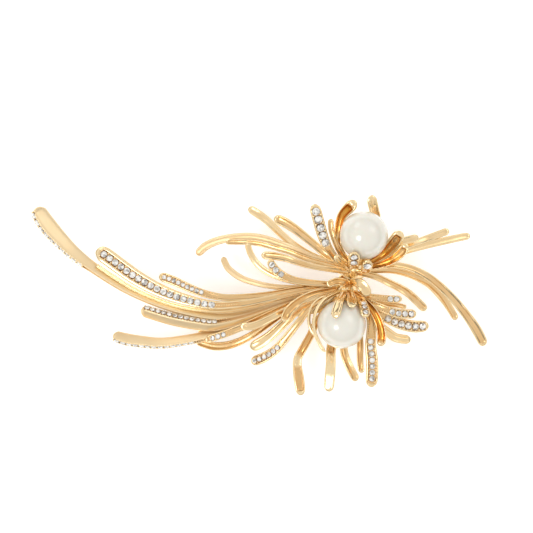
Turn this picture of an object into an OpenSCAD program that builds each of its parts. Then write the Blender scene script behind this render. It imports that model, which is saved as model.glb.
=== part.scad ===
// Hair ornament: two spidery flowers of cast metal petals set back to back on a spring clip.
// It lies on its back: Z is up, out of the face of the ornament, and X runs along the spray.
// The origin is the middle of the flat outer face of the clip's swinging arm.

/* [Overall] */
// Length of the whole spray, tip to tip
overall_length = 115; // [92:1:138]
// Height of the whole spray, across its length
overall_height = 50; // [42:1:60]

/* [Pearls and stones] */
// Diameter of a pearl
pearl_d = 12; // [10:0.5:13]
// Height of a pearl's middle over the plate that carries the flowers
pearl_rise = 8; // [7.5:0.5:10]
// Diameter of the peg that a pearl is glued on
peg_d = 1.2; // [1:0.1:1.6]
// Room for glue round the peg and in the cup
glue_gap = 0.05; // [0.02:0.01:0.1]
// Diameter of a full-size round stone
stone_d = 1.6; // [1.3:0.1:2]
// Distance from one stone's edge to the next
stone_gap = 0.2; // [0.15:0.05:0.4]

/* [Petals] */
// Least distance from the middle of a petal to a pearl
pearl_clearance = 1; // [0.9:0.05:1.4]
// Sides of a petal's section
petal_sides = 8; // [6:2:12]
// Rings between two guide points of a petal
rings_per_stretch = 2; // [1:1:4]

/* [Flower hearts] */
// Diameter of a flower's domed heart
heart_d = 5.8; // [5:0.2:6.2]
// Height of a flower's domed heart
heart_h = 3.6; // [3:0.2:5]

/* [Clip] */
// Length of the clip between its two ends
clip_length = 40; // [36:1:46]
// Width of the clip
clip_width = 6.5; // [6:0.5:8]
// Thickness of the sheet that the clip is pressed from
clip_sheet = 0.8; // [0.6:0.1:1]
// Room between the closed arm and the base for the hair
clip_gap = 4.6; // [4.4:0.2:7]
// Turn of the clip against the spray, in degrees
clip_turn = 10; // [0:1:15]
// Diameter of the clip's hinge pin
pin_d = 1.2; // [1:0.1:1.6]
// Running room round the hinge pin
pin_fit = 0.06; // [0.02:0.01:0.1]
// Room between the arm and what stands beside it
side_gap = 0.35; // [0.3:0.05:0.6]
// Length of the bow spring's arch
bow_length = 20; // [16:1:22]
// Thickness of the bow spring
bow_sheet = 0.35; // [0.3:0.05:0.5]

/* [Hidden] */
$fn = 48;
base_z = clip_sheet + clip_gap;
plate_z = base_z + clip_sheet;
heart_z = plate_z + clip_sheet;
half_clip = clip_length / 2;
pearl_r = pearl_d / 2;
// How far a cutting shape reaches past what it cuts.
past = 1;

// Places on the spray are given for its usual size and follow its length and height.
usual_length = 115;
usual_height = 50;
stretch_x = overall_length / usual_length;
stretch_y = overall_height / usual_height;
function place(x, y, rise) = [x * stretch_x, y * stretch_y, heart_z + rise];
lower_heart = place(17.5, 4.5, 0);
upper_heart = place(20, 10, 0);
lower_pearl_at = place(16.5, -4, pearl_rise);
upper_pearl_at = place(22, 18, pearl_rise);

// Ways that a petal's face can look: along a direction, or away from a pearl.
UP = [0, 0, 1];

// Each petal has its name, its face, its depth over its width, and its guide points from tip to root.
// A guide point is [x, y, height over the plate, width].
TAILS = [
    ["tail_longest", [-0.45, -0.78, 0.42], 1.8, [[-60, 25.2, -2, 2], [-57.5, 21, -2.5, 2.5],
        [-51.5, 14.5, -2.6, 2], [-45, 9.5, -2, 1.5], [-37, 4.5, -1, 1.3], [-27.5, 0.5, 0.3, 1.2],
        [-17.5, -2, 1.2, 1.2], [-10, -2, 1.2, 1.1], [0, 0.5, 1, 1], [8, 3.2, 1, 1], [16, 4.5, 1.2, 1]]],
    ["tail_thin", UP, 1.2, [[-45, 10.8, -1, 0.9], [-36.2, 5.1, 0, 1], [-26.2, 0.9, 1.2, 1],
        [-16.2, -0.8, 2.2, 1], [-6.2, 0.2, 2.4, 1], [6.2, 3.8, 2.4, 1], [15, 5.2, 2.2, 1]]],
    ["tail_main_pave", [0, 0.1, 1], 0.45, [[-45, 14.2, -1, 3.8], [-42.5, 13, -1, 4.2], [-35.5, 8, 0, 4],
        [-28.5, 4.2, 1.2, 3.4], [-21.8, 1.9, 2.4, 2.8], [-14.2, 0.6, 3.2, 2.2], [-5, 1.6, 3.8, 1.7],
        [6.2, 4, 3.6, 1.4], [15, 5.4, 2.8, 1.3]]],
    ["tail_short_pave", [0, 0.1, 1], 0.55, [[-29, 8, 1.5, 2.5], [-25, 6.6, 2, 2.4], [-19.5, 4.2, 2.6, 2.1],
        [-12.5, 2.6, 3, 1.8], [-2.5, 3.2, 3, 1.6], [3.8, 4.3, 2.8, 1.5], [15, 6, 2.2, 1.3]]],
    ["tail_mid_pave", [0, 0.75, 0.65], 1.4, [[-33.6, -0.6, 0, 2.1], [-26.2, -2.8, 1, 2.2],
        [-18.8, -4.2, 1.8, 2.1], [-14.5, -4.4, 2, 2], [-7.5, -2.8, 2, 1.7], [-2.5, -1, 2, 1.4],
        [3.8, 1.2, 2, 1.2], [14, 3.8, 2, 1.1]]],
    ["tail_lower_pave", [0.1, -0.86, 0.5], 1.5, [[-40.8, -7, -2, 1.8], [-37.5, -8, -2, 2],
        [-32.5, -8.7, -1.5, 1.9], [-27.5, -8.9, -1, 1.8], [-18.8, -7.4, 0.2, 1.6], [-10, -4.8, 1, 1.4],
        [-5, -3, 1, 1.3], [1.2, -0.3, 1, 1.2], [8.8, 2.4, 1, 1.1], [15.5, 4, 1, 1]]],
    ["tail_lower_plain", UP, 0.6, [[-19.8, -8.5, -1.5, 1.9], [-15.6, -9.7, -1.2, 2.2],
        [-11.4, -9.4, -0.8, 2.2], [-7.4, -7.8, -0.2, 2], [-3.6, -5.5, 0.4, 1.8], [0, -3, 0.8, 1.6],
        [5, 0.2, 0.9, 1.4], [14, 3.4, 0.9, 1.3]]],
    ["tail_small_pave", UP, 0.55, [[-17.5, -7.9, 2.2, 1.8], [-15, -7.4, 2.6, 1.9], [-9.5, -5.4, 3, 1.9],
        [-6.2, -3.9, 3.2, 1.8], [-1.2, -1.5, 3, 1.6], [6.2, 1.8, 2.8, 1.4], [15, 4, 2.4, 1.3]]],
    ["tail_inner_plain", UP, 0.55, [[-8.7, -4.4, 4, 2], [-6.2, -4.6, 4.2, 2.1], [-3.2, -3.6, 4.3, 2],
        [0, -2, 4.2, 1.8], [3.8, 0, 3.8, 1.6], [15, 4.2, 3, 1.3]]],
    ["tail_broad", UP, 0.5, [[-6.2, -10.2, 0, 2.6], [-3.8, -8.9, 0.8, 2.8], [-1.2, -7.1, 1.6, 2.6],
        [1.2, -4.9, 2.4, 2.4], [3.8, -2.5, 3, 2.1], [6.8, 0.2, 3.4, 1.8], [15, 4, 2.6, 1.4]]],
    ["spur_pave", [-0.2, 0.1, 1], 0.5, [[-6, -13.6, 1, 2.5], [-3.8, -12.9, 2, 2.7], [-1.2, -11.5, 3, 2.5],
        [1.2, -9.4, 4, 2.2], [3.8, -6.2, 5, 2], [6.2, -3.2, 5.6, 1.8], [9, 0.2, 5.2, 1.6],
        [15.5, 4.2, 3, 1.3]]],
    ["curl_inner", UP, 0.45, [[2.2, -3.4, 7.2, 2.2], [3.2, -1, 7.4, 2.4], [5.2, 1.1, 7, 2.3],
        [7.8, 2.8, 6.2, 2], [10.8, 3.9, 5, 1.7], [15.5, 4.6, 3.2, 1.4]]]
];

LEFT_SPRAY = [
    ["spray_top", UP, 0.5, [[-6.7, 25.2, -6, 2.1], [-4.2, 23.6, -5.4, 2.2], [-1.8, 21.8, -4.4, 2.1],
        [0.8, 19.2, -3, 2], [3.8, 16.5, -1.4, 1.9], [7.5, 14, 0.2, 1.8], [11.8, 12, 1.2, 1.7],
        [18.2, 10, 1.8, 1.5]]],
    ["spray_second", UP, 0.5, [[-0.2, 22.6, -2, 2.5], [2.5, 21.4, -1.4, 2.6], [5.5, 19.4, -0.4, 2.4],
        [8.2, 17.2, 0.8, 2.2], [10.8, 15, 1.8, 2], [13.2, 12.9, 2.4, 1.8], [18.6, 10.4, 2.6, 1.5]]],
    ["spray_long", UP, 0.55, [[-19.7, 13.2, -4.5, 2], [-17.8, 15.2, -4, 2.2], [-15, 16.6, -3.2, 2.1],
        [-11.2, 17.5, -2.2, 2], [-6.8, 17.9, -1.2, 1.8], [-3.2, 17.5, -0.4, 1.7], [0.2, 16.5, 0.4, 1.6],
        [4.2, 15, 1.2, 1.5], [8.8, 13, 1.8, 1.4], [18.4, 9.8, 2.2, 1.2]]],
    ["spray_thin", UP, 0.6, [[-12.4, 16.4, 0, 1.3], [-7.5, 16.4, 0.5, 1.4], [-3.8, 16, 1, 1.4],
        [0, 15, 1.6, 1.4], [3.8, 13.9, 2.2, 1.4], [8.2, 12.2, 2.6, 1.4], [18.4, 9.4, 3, 1.2]]],
    ["spray_low", UP, 0.5, [[-3.4, 13.1, 2.5, 2], [-0.8, 13, 3, 2.1], [2.5, 12.4, 3.4, 1.9],
        [6.2, 11.2, 3.8, 1.7], [10, 10.2, 3.8, 1.5], [18.4, 8.8, 3.2, 1.2]]],
    ["curl_double", UP, 0.6, [[-6.9, 16.2, 1, 1.6], [-6.2, 13.8, 1.4, 1.7], [-4.8, 11.4, 1.8, 1.7],
        [-2.8, 9.5, 2.2, 1.7], [0, 8, 2.6, 1.6], [3.8, 6.8, 3, 1.5], [8.8, 6, 3.2, 1.4],
        [15.6, 5.6, 2.8, 1.3]]],
    ["spray_pave", UP, 0.5, [[-1.4, 12, 4, 2], [-0.3, 10, 4.6, 2.2], [1.5, 8.4, 5, 2.2],
        [4.2, 7.1, 5.1, 2], [8.2, 6.4, 4.8, 1.7], [15.6, 5.8, 3.6, 1.3]]],
    ["hook", UP, 0.55, [[-13.1, 12.7, -2, 1.6], [-12, 10.2, -1.4, 1.7], [-10.2, 8.5, -0.8, 1.7],
        [-8, 7.2, 0, 1.6], [-5, 6.2, 0.8, 1.5], [-1.2, 5.4, 1.2, 1.4], [3.8, 5, 1.4, 1.4],
        [15.4, 5, 1.6, 1.2]]]
];

CROWN = [
    ["crown_pave", UP, 0.5, [[9.6, 25.7, 9, 2.9], [10.8, 21.5, 8, 2.9], [11.5, 19, 7, 2.8],
        [12.4, 16.5, 6, 2.5], [13.8, 14, 5, 2.1], [16.2, 11.2, 4, 1.8], [19.2, 9.8, 2.6, 1.5]]],
    ["crown_inner", UP, 0.6, [[13.8, 22.2, 6, 1.5], [14, 19.5, 5.5, 1.5], [15, 16.5, 5, 1.5],
        [16.5, 13.5, 4, 1.5], [19.6, 10.2, 2.4, 1.3]]],
    ["crown_claw", UP, 0.5, [[20, 26.5, 8.5, 2.5], [18.5, 25, 7.6, 3], [16.6, 22.8, 5.8, 2.5],
        [15.8, 19.5, 4.6, 2], [15.7, 16, 4.2, 1.8], [17.3, 12.8, 3.6, 1.6], [19.6, 10.4, 2.6, 1.4]]],
    ["crown_back", UP, 0.5, [[24, 28, 7, 2.4], [24.2, 26, 6, 2.6], [24.8, 24, 4.4, 2.5], [25.2, 21.5, 2, 2.2],
        [23.5, 15.5, 0.8, 1.8], [20.8, 10.5, 1.6, 1.5]]],
    ["right_claw", UP, 0.5, [[31.2, 19, 8.8, 2.6], [29.9, 17, 7.2, 3.2], [28.5, 15.1, 5.4, 3],
        [26.8, 13.3, 4.2, 2.4], [24.2, 11.6, 3.4, 1.8], [20.8, 9.9, 2.8, 1.4]]],
    ["right_short", UP, 0.5, [[32.7, 15.9, 7, 2.3], [31.2, 13.7, 6, 2.6], [29, 11.9, 5, 2.4],
        [26.2, 10.7, 4, 1.9], [21, 9.8, 2.6, 1.4]]],
    ["right_pale", UP, 0.5, [[35.9, 17.6, 2.6, 1.9], [33.2, 17, 3, 2], [31.2, 16.2, 3.2, 1.9],
        [26.5, 13.4, 3, 1.6], [21, 10.4, 2.4, 1.4]]],
    ["right_upper", UP, 0.5, [[43.9, 19.4, -2, 1.9], [38.8, 17.5, -1, 1.9], [35, 16.1, 0, 1.8],
        [31.2, 14.8, 0.8, 1.6], [26, 12, 1.4, 1.5], [20.6, 9.9, 1.4, 1.3]]],
    ["right_long", UP, 0.5, [[49.4, 18.1, -4, 1.9], [46.2, 17.5, -3.2, 2], [41.2, 16.4, -2, 2],
        [36.2, 15.2, -0.8, 1.9], [31.8, 13.8, 0.4, 1.7], [26, 11.2, 1.6, 1.5], [21, 9.6, 2.2, 1.3]]],
    ["right_outer", UP, 0.5, [[53.2, -9.8, -6, 2.4], [51.2, -6, -5, 2.7], [48.8, -2.5, -3.8, 2.4],
        [45.8, 1.2, -2.4, 2.2], [42.5, 4.5, -1, 2.1], [38.8, 7.5, 0.4, 2], [35, 9.5, 1.4, 1.8],
        [31.2, 10.5, 2.2, 1.7], [27.5, 10.5, 2.8, 1.6], [21, 9.4, 2.8, 1.4]]],
    ["right_middle", UP, 0.5, [[45.9, -3.2, -4, 1.8], [44, 0, -3.4, 2], [41.8, 3, -2.4, 2.3],
        [38.8, 5.8, -1.2, 2], [35, 7.8, 0, 1.8], [31.2, 9, 0.8, 1.7], [27.5, 9.4, 1.2, 1.6],
        [21, 9, 1.4, 1.4]]],
    ["right_inner", UP, 0.5, [[37.9, -0.7, 0, 2.1], [35.2, 2, 1, 2.2], [32.5, 4.2, 2, 2.1],
        [28.8, 6.1, 3, 1.9], [25, 7.8, 3.4, 1.7], [20.6, 8.8, 3.2, 1.4]]]
];

LOWER = [
    ["side_first", UP, 0.55, [[31.7, 2.2, 4, 1.8], [28.8, 2.2, 4.4, 1.9], [25.8, 2.5, 4.4, 1.8],
        [22.5, 3, 4, 1.6], [18.4, 4.2, 3, 1.3]]],
    ["side_thin", UP, 0.6, [[32.9, 0, 2, 1.3], [31.2, 0.5, 2.4, 1.3], [27.5, 1, 2.8, 1.3],
        [23.2, 2, 2.8, 1.3], [18.4, 3.9, 2.4, 1.2]]],
    ["side_second", UP, 0.5, [[35.2, -1.4, 4.5, 2.2], [33.2, -1.5, 5, 2.4], [30, -1.2, 5.4, 2.3],
        [26.8, -0.1, 5.2, 2], [23.2, 1.5, 4.4, 1.7], [18.4, 3.8, 3, 1.4]]],
    ["side_pave", UP, 0.5, [[38.5, -4.5, 2, 2.8], [35, -4.7, 2.6, 3.1], [31.8, -4.1, 3, 3],
        [28.8, -3, 3.4, 2.7], [25.8, -1.2, 3.4, 2.3], [22.8, 0.8, 3, 2], [18.2, 3.6, 2.2, 1.5]]],
    ["side_third", UP, 0.5, [[34.2, -8, -1, 2.2], [32.8, -8, -0.6, 2.4], [30.2, -7.5, 0, 2.4],
        [27.8, -5.8, 0.8, 2.3], [25, -3.5, 1.4, 2.1], [22.5, -0.5, 1.6, 1.8], [18.2, 3.4, 1.4, 1.4]]],
    ["claw_right", UP, 0.5, [[26.2, -9.5, 5.4, 2.2], [26.5, -6.8, 6, 2.4], [25.8, -3.5, 6.4, 2.3],
        [24.2, -0.5, 6, 2], [21.8, 2, 4.8, 1.7], [18.4, 4, 3, 1.4]]],
    ["foot_pave", UP, 0.5, [[23.9, -19.8, 4, 3], [24.2, -16.8, 4, 3.2], [24.2, -13, 4.2, 3.1],
        [23.8, -9.2, 4.4, 2.8], [24, -4.2, 4.2, 2.3], [22.8, -0.5, 3.4, 1.9], [18.2, 3.8, 2.2, 1.5]]],
    ["claw_left", lower_pearl_at, 0.6, [[12.4, -10.8, 9, 1.3], [11.4, -9.5, 9, 1.4], [10.2, -6.8, 8.6, 1.4],
        [9.6, -3.5, 8, 1.4], [10.4, -0.2, 7, 1.4], [12.6, 2.4, 5.4, 1.4], [16.4, 4.2, 3.2, 1.3]]],
    ["foot_left", UP, 0.5, [[6.6, -22, 1, 2.4], [6, -18, 0.8, 2.8], [5.6, -14.6, 0.5, 2.4],
        [5.8, -12.6, 0.5, 2.2], [7.2, -10, 0.8, 2.2], [9, -6.8, 0.8, 2.1], [11, -2.8, 0.7, 1.8],
        [16.6, 3.6, 1, 1.4]]],
    ["foot_middle", UP, 0.5, [[13.4, -21, 2.5, 2.6], [13.8, -16.8, 2.5, 2.7], [14, -13.4, 2, 2.5],
        [14, -11, 1.4, 2.5], [14.5, -8, 0.6, 2.4], [15.6, -3, 0.4, 2], [17.2, 3.4, 1, 1.5]]],
    ["foot_right", UP, 0.5, [[20.6, -18.4, 0.5, 2.1], [19.8, -17, 0.8, 2.2], [18.5, -14.5, 1, 2.2],
        [17.5, -11.8, 0.8, 2.1], [17.2, -9, 0.4, 2], [17.4, -3, 0.2, 1.8], [17.6, 3.4, 1, 1.5]]],
    ["foot_band", UP, 0.5, [[21.6, -16.2, 5, 1.6], [21.2, -13.5, 5, 1.7], [21.2, -10.5, 4.6, 1.7],
        [21.2, -7.5, 3.4, 1.7], [20.6, -2, 1.6, 1.6], [18.2, 3.6, 1.6, 1.4]]]
];

// Short petals that share one small casting on each flower.
UPPER_BUDS = [
    ["bud", [0, -0.75, 0.66], 0.5, [[19.4, 13.9, 13.2, 2.6], [19.4, 12.2, 11.6, 3], [19.5, 10.4, 8.6, 2.6],
        [19.8, 9.8, 4, 1.8]]],
    ["bud", [0.05, -0.75, 0.66], 0.5, [[22.8, 11.9, 11, 2.3], [22.7, 10.6, 9.8, 2.7], [22.3, 9.2, 7.4, 2.4],
        [21, 9.2, 3.5, 1.6]]],
    ["bud", UP, 0.5, [[14.9, 13.1, 8, 1.9], [16, 11.8, 6.8, 2], [17.4, 10.6, 5, 1.8], [19.2, 10.2, 2.8, 1.5]]]
];
LOWER_BUDS = [
    ["bud", [0.3, 0.1, 1], 0.5, [[22.2, -2.2, 12, 2.3], [22, -0.4, 10.8, 2.5], [21.2, 2, 7.5, 2.3],
        [19.2, 3.8, 3.6, 1.6]]],
    ["bud", lower_pearl_at, 0.5, [[14.6, -2.4, 15, 2.3], [14.9, -1, 14.6, 2.4], [15.8, 1.4, 12, 2.2],
        [17, 3.6, 7, 1.8], [17.2, 4.2, 3.2, 1.5]]],
    ["claw", lower_pearl_at, 0.7, [[10.2, -7, 6, 1.1], [9, -5.5, 6, 1.1], [8.4, -3, 5.8, 1.1],
        [9, 0, 5.2, 1.1], [11.2, 2.4, 4.4, 1.1], [16.2, 4, 2.8, 1.1]]],
    ["bud", lower_pearl_at, 0.5, [[18.6, 0.2, 13, 2.4], [18.8, 2, 10.6, 2.5], [18.6, 3.8, 5.5, 1.9],
        [18.2, 4.2, 3.2, 1.5]]]
];
HEART_TIPS = [
    ["tip", UP, 0.5, [[12.8, 5.7, 7, 1.7], [15.2, 6.6, 7.4, 2], [17.5, 6.2, 6.4, 2], [18.2, 5, 3, 1.5]]],
    ["tip", UP, 0.5, [[16.1, 8.2, 6.4, 1.5], [17, 7.2, 5.8, 1.6], [18, 6.2, 4, 1.4], [18, 5.4, 2.8, 1.3]]],
    ["tip", UP, 0.5, [[22.9, 2.8, 6.5, 2.2], [22.5, 4.3, 7, 2.7], [21.2, 6, 7, 2.6], [19.4, 6.4, 5.4, 2],
        [18.4, 5.2, 3, 1.5]]]
];

PETALS = concat(TAILS, LEFT_SPRAY, CROWN, LOWER);

// Rows of round stones: petal, distance of the first stone from the tip, count, size over the full size.
TAIL_ROWS = [
    ["tail_longest", 1.6, 10, 1], ["tail_main_pave", 2.3, 18, 1], ["tail_short_pave", 1.5, 9, 0.66],
    ["tail_mid_pave", 1.5, 13, 0.8], ["tail_lower_pave", 1.4, 13, 0.85], ["tail_small_pave", 2, 3, 0.75]
];
LOWER_ROWS = [
    ["spur_pave", 1.3, 6, 0.75], ["spray_pave", 1.6, 3, 0.9], ["side_first", 1.5, 2, 0.85],
    ["side_second", 1.5, 4, 0.85], ["side_pave", 1.8, 6, 1], ["foot_pave", 2.2, 7, 0.85]
];
UPPER_ROWS = [["crown_pave", 1.8, 5, 1.2]];
BUD_ROWS = [[0, 1.3, 2, 1.05], [1, 1.5, 1, 1.2]];
LOWER_BUD_ROWS = [[0, 1.2, 3, 0.8]];

gold = [0.93, 0.79, 0.55];
steel = [0.78, 0.77, 0.74];
pearl_white = [0.93, 0.91, 0.87];
crystal = [0.86, 0.89, 0.92];

// ---- Petals ----

// Rounding of a petal's oval section: 1 is a plain oval, less is squarer.
squareness = 0.8;
// Step along a curve for finding which way it heads.
nudge = 0.05;
// Least distance from a round tip's last ring to the next, in stretches between guide points.
ring_gap = 0.1;

function unit(v) = v / norm(v);

// A point of the smooth curve through b and c, with a before and d after, at t from 0 to 1.
function blend(a, b, c, d, t) =
    b + t / 2 * ((c - a) + t * ((2 * a - 5 * b + 4 * c - d) + t * (3 * b - 3 * c + d - a)));

// The guide point list's curve at u, where whole numbers are the guide points.
function along(points, u) =
    let (last = len(points) - 1, i = min(floor(u), last - 1))
    blend(points[max(i - 1, 0)], points[i], points[i + 1], points[min(i + 2, last)], u - i);

// Petal guide points in the part's own frame, kept off the pearls.
function guide(p) = [for (g = p[3]) let (at = place(g[0], g[1], g[2])) [at.x, at.y, at.z, g[3]]];
function pushed(at, pearl) =
    let (away = at - pearl, near = pearl_r + pearl_clearance)
    norm(away) < near ? pearl + near * unit(away) : at;
function kept_off(at) = pushed(pushed(at, lower_pearl_at), upper_pearl_at);
function middle(points, u) = let (g = along(points, u)) kept_off([g.x, g.y, g.z]);
function width_at(points, u) = along(points, u)[3];

// The direction of the curve, and the way that the face looks there.
function heading(points, u) =
    let (last = len(points) - 1)
    unit(middle(points, min(u + nudge, last)) - middle(points, max(u - nudge, 0)));
function looks(face, at) = norm(face) > 2 ? unit(at - face) : unit(face);
function across(points, u, face) = unit(cross(heading(points, u), looks(face, middle(points, u))));

// Round tip: how far along and how wide its rings are, as shares of the tip's radius.
TIP_TURNS = [8, 32, 58, 90];

// Values of u for a petal's rings, closer together in its round tip.
function ring_places(points) =
    let (round_end = points[0][3] / 2 / norm(middle(points, 1) - middle(points, 0)))
    concat([for (a = TIP_TURNS) (1 - cos(a)) * round_end],
        [for (i = [1 : (len(points) - 1) * rings_per_stretch])
            if (i / rings_per_stretch > round_end + ring_gap) i / rings_per_stretch]);

// One ring of a petal's skin: a squared oval.
function ring(points, u, face, depth, share) =
    let (m = middle(points, u), s = across(points, u, face), n = cross(s, heading(points, u)),
        w = width_at(points, u) / 2 * share)
    [for (k = [0 : petal_sides - 1])
        let (a = 360 * (k + 0.5) / petal_sides, c = cos(a), d = sin(a))
        m + w * sign(c) * pow(abs(c), squareness) * s
            + w * depth * sign(d) * pow(abs(d), squareness) * n];

// Every ring of a petal, from its tip to its root.
function rings(p) =
    let (g = guide(p), places = ring_places(g))
    [for (i = [0 : len(places) - 1])
        ring(g, places[i], p[1], p[2], i < len(TIP_TURNS) ? sin(TIP_TURNS[i]) : 1)];

// A closed skin over a list of rings.
module skin(rings) {
    last = (len(rings) - 1) * petal_sides;
    ends = [[for (k = [petal_sides - 1 : -1 : 0]) k], [for (k = [0 : petal_sides - 1]) last + k]];
    sides = [for (i = [0 : len(rings) - 2], k = [0 : petal_sides - 1])
        let (a = i * petal_sides + k, b = i * petal_sides + (k + 1) % petal_sides)
        [a, b, b + petal_sides, a + petal_sides]];
    polyhedron([for (r = rings) each r], concat(ends, sides));
}

module petal(p) { skin(rings(p)); }

// Petals that are cast together, each grown ring by ring so that they fuse where they meet.
module cast_together(petals) {
    for (p = petals) {
        r = rings(p);
        for (i = [0 : len(r) - 2]) hull() skin([r[i], r[i + 1]]);
    }
}

// ---- Stones ----

// Length of the curve up to each of many values of u, for lookup().
function lengths(points, steps = 60, i = 0, total = 0, made = []) =
    let (last = len(points) - 1, u = i * last / steps)
    i > steps ? made : lengths(points, steps, i + 1,
        total + (i < steps ? norm(middle(points, (i + 1) * last / steps) - middle(points, u)) : 0),
        concat(made, [[total, u]]));

// Half of a cut stone's outline in diameters: its point, its edge and its flat top.
STONE_SIDE = [[0, -0.45], [0.5, -0.05], [0.5, 0.05], [0.3, 0.2], [0, 0.2]];

module stone(d) { rotate_extrude($fn = 24) polygon(d * STONE_SIDE); }

// A row of stones let into a petal's face.
module stone_row(p, first, count, size) {
    g = guide(p);
    along_it = lengths(g);
    d = stone_d * size;
    for (i = [0 : count - 1]) {
        u = lookup(first + i * (d + stone_gap), along_it);
        m = middle(g, u);
        s = across(g, u, p[1]);
        h = heading(g, u);
        n = cross(s, h);
        at = m + (width_at(g, u) / 2 * p[2]) * n;
        multmatrix([[s.x, h.x, n.x, at.x], [s.y, h.y, n.y, at.y], [s.z, h.z, n.z, at.z], [0, 0, 0, 1]])
            stone(d);
    }
}
function named(name) = [for (p = PETALS) if (p[0] == name) p][0];

module tail_stones() {
    color(crystal) for (r = TAIL_ROWS) stone_row(named(r[0]), r[1], r[2], r[3]);
}
module lower_stones() {
    color(crystal) {
        for (r = LOWER_ROWS) stone_row(named(r[0]), r[1], r[2], r[3]);
        for (r = LOWER_BUD_ROWS) stone_row(LOWER_BUDS[r[0]], r[1], r[2], r[3]);
    }
}
module upper_stones() {
    color(crystal) {
        for (r = UPPER_ROWS) stone_row(named(r[0]), r[1], r[2], r[3]);
        for (r = BUD_ROWS) stone_row(UPPER_BUDS[r[0]], r[1], r[2], r[3]);
    }
}

// ---- Hearts and pearls ----

// Stands its children at one point, with their Z towards another.
module aimed(from, to) {
    d = to - from;
    translate(from) rotate([0, acos(d.z / norm(d)), atan2(d.y, d.x)]) children();
}

peg_depth = pearl_r / 2;
stalk_d = 2 * peg_d;
// Width of the cup under a pearl, as a share of the pearl.
cup_share = 0.42;
cup_d = pearl_d * cup_share;

// Where a pearl's stalk starts inside its heart, and how far its middle is from there.
function stalk_foot(heart_at) = heart_at + [0, 0, heart_h / 3];
function stalk_reach(heart_at, pearl) = norm(pearl - stalk_foot(heart_at));

// A domed heart with the stalk, cup and peg that carry its pearl.
module heart(at, pearl) {
    reach = stalk_reach(at, pearl);
    dome_r = (heart_d * heart_d / 4 + heart_h * heart_h) / (2 * heart_h);
    difference() {
        union() {
            translate(at) intersection() {
                cylinder(d = heart_d, h = heart_h);
                translate([0, 0, heart_h - dome_r]) sphere(r = dome_r);
            }
            aimed(stalk_foot(at), pearl) cylinder(d1 = stalk_d, d2 = cup_d, h = reach - pearl_r / 2);
        }
        translate(pearl) sphere(r = pearl_r + glue_gap, $fn = 96);
        translate([at.x, at.y, heart_z - pearl_d]) cylinder(d = 4 * pearl_d, h = pearl_d);
    }
    aimed(stalk_foot(at), pearl)
        translate([0, 0, heart_h / 3]) cylinder(d = peg_d, h = reach - pearl_r + peg_depth - heart_h / 3);
}

module pearl(at, heart_at) {
    difference() {
        translate(at) sphere(r = pearl_r, $fn = 96);
        aimed(stalk_foot(heart_at), at)
            cylinder(d = peg_d + 2 * glue_gap,
                h = stalk_reach(heart_at, at) - pearl_r + peg_depth + glue_gap);
    }
}

module upper_heart() { color(gold) heart(upper_heart, upper_pearl_at); }
module lower_heart() { color(gold) heart(lower_heart, lower_pearl_at); }
module upper_pearl() { color(pearl_white) pearl(upper_pearl_at, upper_heart); }
module lower_pearl() { color(pearl_white) pearl(lower_pearl_at, lower_heart); }

// ---- Clip ----

pin_z = pin_d / 2 + pin_fit + clip_sheet;
pin_x = -half_clip + pin_z;
arm_w = clip_width - 2 * clip_sheet - 2 * side_gap;
dimple_r = 0.5;
// From the base's free end to the arm's end, and to the middle of the catch.
arm_short = 0.6;
catch_in = 3;
arm_end = half_clip - arm_short;
notch_x = half_clip - catch_in;
// Height of the cheeks and the catch over the face that the ornament rests on.
off_rest = 0.3;

module on_clip() { rotate([0, 0, clip_turn]) children(); }

// A cylinder across the clip, centred on its line.
module across_clip(x, z, d, w) {
    translate([x, 0, z]) rotate([90, 0, 0]) cylinder(d = d, h = w, center = true);
}

// The bar and the two cheeks that hold the hinge pin.
module clip_base() {
    cheek_d = 2 * pin_z - off_rest;
    color(steel) on_clip() difference() {
        union() {
            translate([-half_clip, -clip_width / 2, base_z]) cube([clip_length, clip_width, clip_sheet]);
            for (side = [-1, 1]) {
                at = side * (clip_width - clip_sheet) / 2;
                translate([pin_x - cheek_d / 2, at - clip_sheet / 2, pin_z])
                    cube([cheek_d, clip_sheet, base_z - pin_z + clip_sheet / 2]);
                translate([0, at, 0]) across_clip(pin_x, pin_z, cheek_d, clip_sheet);
            }
        }
        across_clip(pin_x, pin_z, pin_d, clip_width + past);
    }
}

// The swinging arm, with its rolled knuckle and the two notches that the catch snaps into.
module clip_arm() {
    color(steel) on_clip() difference() {
        union() {
            translate([pin_x, -arm_w / 2, 0]) cube([arm_end - pin_x, arm_w, clip_sheet]);
            across_clip(pin_x, pin_z, 2 * pin_z, arm_w);
        }
        across_clip(pin_x, pin_z, pin_d + 2 * pin_fit, arm_w + past);
        for (side = [-1, 1]) translate([notch_x, side * arm_w / 2, -past])
            cylinder(r = dimple_r + side_gap, h = clip_sheet + 2 * past);
    }
}

// The hinge pin, with a rivet head outside each cheek.
module clip_pin() {
    head = 0.4;
    head_d = 1.6 * pin_d;
    color(steel) on_clip() {
        across_clip(pin_x, pin_z, pin_d, clip_width);
        for (side = [-1, 1]) translate([0, side * (clip_width + head) / 2, 0])
            across_clip(pin_x, pin_z, head_d, head);
    }
}

// The arched leaf that presses the hair towards the arm.
module clip_bow_spring() {
    room = 0.5;
    inset = 0.3;
    sag = clip_gap - room;
    bow_r = (bow_length * bow_length / 4 + sag * sag) / (2 * sag);
    bow_w = arm_w - 2 * inset;
    color(steel) on_clip() intersection() {
        difference() {
            across_clip(0, base_z - sag + bow_r, 2 * bow_r, bow_w, $fn = 96);
            across_clip(0, base_z - sag + bow_r, 2 * (bow_r - bow_sheet), bow_w + past, $fn = 96);
        }
        translate([-bow_length, -clip_width, 0]) cube([2 * bow_length, 2 * clip_width, base_z]);
    }
}

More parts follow.
